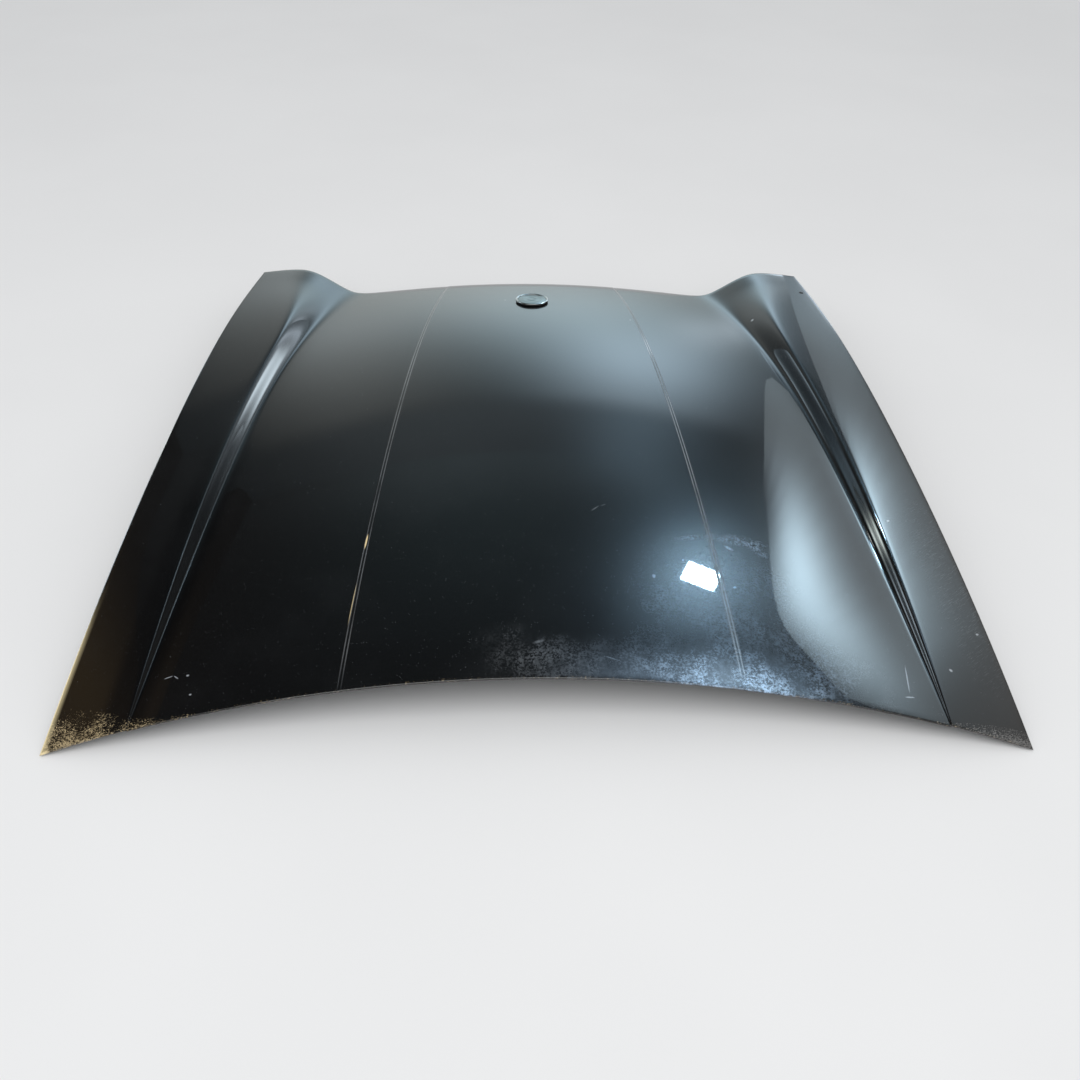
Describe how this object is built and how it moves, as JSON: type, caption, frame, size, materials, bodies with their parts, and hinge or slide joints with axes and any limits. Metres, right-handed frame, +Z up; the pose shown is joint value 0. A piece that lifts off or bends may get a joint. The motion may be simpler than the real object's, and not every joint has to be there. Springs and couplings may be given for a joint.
{
  "type": "car bonnet",
  "caption": "Used gloss black car bonnet with raised wings, converging creases and a blank round badge, lying convex side up on its rear corners and nose lip.",
  "frame": {"origin": "middle of the bounding box's base, on the surface the bonnet lies on", "axes": "+X across the car to the right in the picture, +Y towards the nose, +Z up, out of the painted side"},
  "size_m": [1.4774, 1.354, 0.1198],
  "materials": {
    "paint": "deep gloss clear coat over black, with swirls, dust and light scratches",
    "inner_paint": "satin black paint without clear coat, dusty",
    "zinc": "dull zinc plate",
    "rubber": "matte black",
    "chrome": "bright plated plastic",
    "badge_black": "gloss black",
    "mastic": "matte, set paste"
  },
  "bodies": {
    "root": {"outer_skin": "paint", "inner_frame": "inner_paint", "hinge_plate_left": "zinc", "hinge_plate_right": "zinc", "hinge_nut_left_rear": "zinc", "hinge_nut_left_front": "zinc", "hinge_nut_right_rear": "zinc", "hinge_nut_right_front": "zinc", "striker_base": "zinc", "striker_loop": "zinc", "striker_bolt_left": "zinc", "striker_bolt_right": "zinc", "latch_reinforcement": "zinc", "bump_stop_front_left": "rubber", "bump_stop_front_right": "rubber", "bump_stop_side_left": "rubber", "bump_stop_side_right": "rubber", "badge_base": "badge_black", "badge_ring": "chrome", "badge_plate": "badge_black", "badge_grommet_left": "rubber", "badge_grommet_right": "rubber", "mastic_pad_1": "mastic", "mastic_pad_2": "mastic", "mastic_pad_3": "mastic", "mastic_pad_4": "mastic", "mastic_pad_5": "mastic", "mastic_pad_6": "mastic"}
  },
  "joints": []
}
